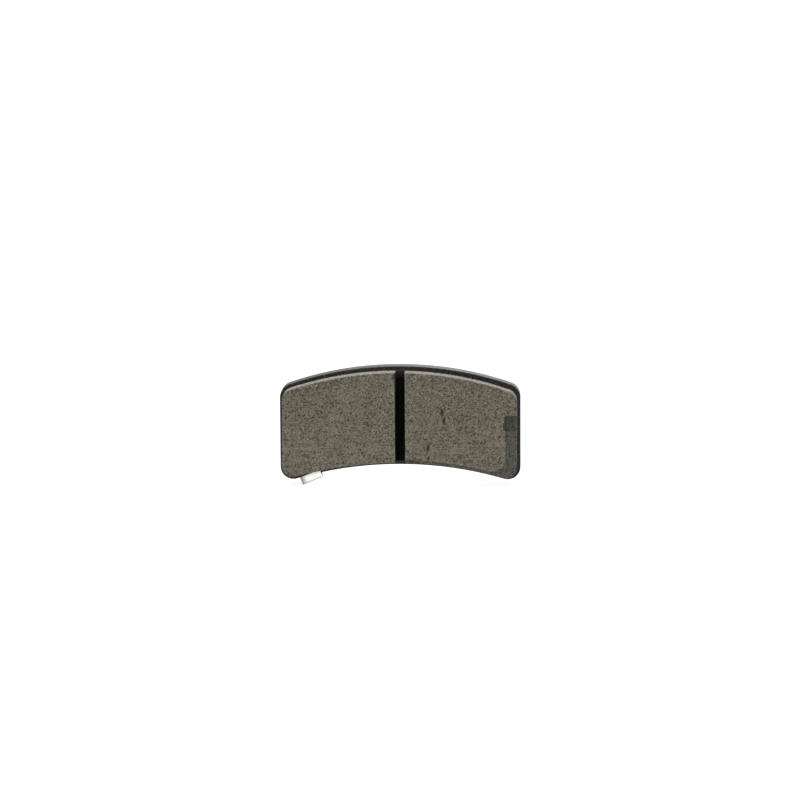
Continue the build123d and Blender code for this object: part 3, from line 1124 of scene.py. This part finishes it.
# painted shade: strongest at the tip's left side and low on the bend; the part behind the plate is
# evenly darker and duller
shade_and_dulling = leaf.data.attributes.new("shade_and_dulling", "FLOAT", "POINT")
for corner, painted in zip(leaf.data.vertices, shade_and_dulling.data):
    painted.value = shade_and_dulling_at(corner.co)
up_the_leaf = Vector((-math.sin(LEAF_TILT), 0.0, math.cos(LEAF_TILT)))
leaf.rotation_euler = (0.0, -LEAF_TILT, 0.0)
leaf.location = Vector((rivet_x, 0.0, rivet_z)) - LEAF_FOOT * up_the_leaf
settle(leaf)
finish_piece(leaf, leaf_steel, "leaf_steel", "wear_indicator")

# %% [markdown]
# ## Rivet
#
# The rivet's head is turned: a half profile is drawn point by point with Extrude, and Spin carries it
# round the rivet's axis. Peening leaves a small dimple in the middle of the dome.

# %% Make the rivet
DOME_RADIUS = 2.8 * MM
HEAD_SEAT = PLATE_BACK + LEAF_THICKNESS
SHANK_RADIUS = 1.5 * MM
SUNK_RADIUS = 2.5 * MM
SUNK_DEPTH = 1.2 * MM
DOME_TOP = rivet_high.y
PROFILE = (
    (0.0, DOME_TOP - 0.12 * MM),
    (0.45 * MM, DOME_TOP - 0.10 * MM),
    (0.75 * MM, DOME_TOP - 0.01 * MM),
    (1.2 * MM, DOME_TOP - 0.03 * MM),
    (1.8 * MM, DOME_TOP - 0.16 * MM),
    (2.35 * MM, DOME_TOP - 0.40 * MM),
    (2.68 * MM, DOME_TOP - 0.64 * MM),
    (DOME_RADIUS, HEAD_SEAT + 0.06 * MM),
    (DOME_RADIUS - 0.05 * MM, HEAD_SEAT),
    (SHANK_RADIUS, HEAD_SEAT),
    (SHANK_RADIUS, PLATE_FRONT + SUNK_DEPTH),
    (SUNK_RADIUS, PLATE_FRONT),
    (0.0, PLATE_FRONT),
)


def turn_rivet():
    """Draw the half profile and spin it round the rivet's axis, which runs along Y."""
    piece = pen_down("leaf_rivet", (0.0, PROFILE[0][1], 0.0))
    for (radius, depth), (next_radius, next_depth) in zip(PROFILE, PROFILE[1:]):
        draw_out(next_radius - radius, next_depth - depth, 0.0)
    bpy.ops.mesh.select_all(action="SELECT")
    bpy.ops.mesh.spin(steps=48, angle=2 * math.pi, center=(0.0, 0.0, 0.0), axis=(0.0, 1.0, 0.0))
    tidy_normals()
    bpy.ops.object.mode_set(mode="OBJECT")
    piece.location = (rivet_x, 0.0, rivet_z)
    settle(piece)
    return piece


rivet = turn_rivet()
finish_piece(rivet, rivet_steel, "rivet_steel", "indicator_rivet")

# %% [markdown]
# ## Floor and light
#
# The pad stands on a light table, the pale acrylic sheet that small goods are shown on. Light
# comes up through it as well as down on it, so it stays pale right up to the object and shadows fade
# out. A wide soft box hangs overhead, fainter ones stand around, and a pale sky fills the rest. Every
# soft box points at the origin, which is where the pad is.


# %% Floor and lights
def make_floor():
    """A wide plane under the lowest point of the pad, pale and glowing."""
    bpy.ops.mesh.primitive_plane_add(size=30.0, location=(0.0, 0.0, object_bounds()[0].z))
    floor = bpy.context.object
    floor.name = "floor"
    material, tree, shader, _ = new_material("pale floor")
    grey, white = (0.20, 0.20, 0.20, 1.0), (1.0, 1.0, 1.0, 1.0)
    feed(tree, shader, {"Base Color": grey, "Roughness": 0.9, "Specular IOR Level": 0.1})
    feed(tree, shader, {"Emission Color": white, "Emission Strength": 0.90})
    floor.data.materials.append(material)


def soft_box(name, place, size, power):
    """A square area light that points at the pad."""
    light = bpy.data.lights.new(name, "AREA")
    light.size = size
    light.energy = power
    lamp = bpy.data.objects.new(name, light)
    lamp.location = place
    lamp.rotation_mode = "QUATERNION"
    lamp.rotation_quaternion = (-Vector(place)).to_track_quat("-Z", "Y")
    bpy.context.scene.collection.objects.link(lamp)


make_floor()
soft_box("overhead", (0.0, 0.15, 1.1), 1.4, 14.0)
soft_box("left fill", (-1.1, -1.1, 0.8), 0.7, 1.6)
soft_box("right fill", (1.2, -0.9, 0.7), 0.8, 0.8)
soft_box("back fill", (0.3, 1.4, 0.7), 0.9, 3.0)
world = bpy.data.worlds.new("pale sky")
world.use_nodes = True
sky = world.node_tree.nodes["Background"]
feed(world.node_tree, sky, {"Color": (1.0, 1.0, 1.0, 1.0), "Strength": 1.03})
bpy.context.scene.world = world
bpy.context.scene.view_settings.view_transform = "Standard"
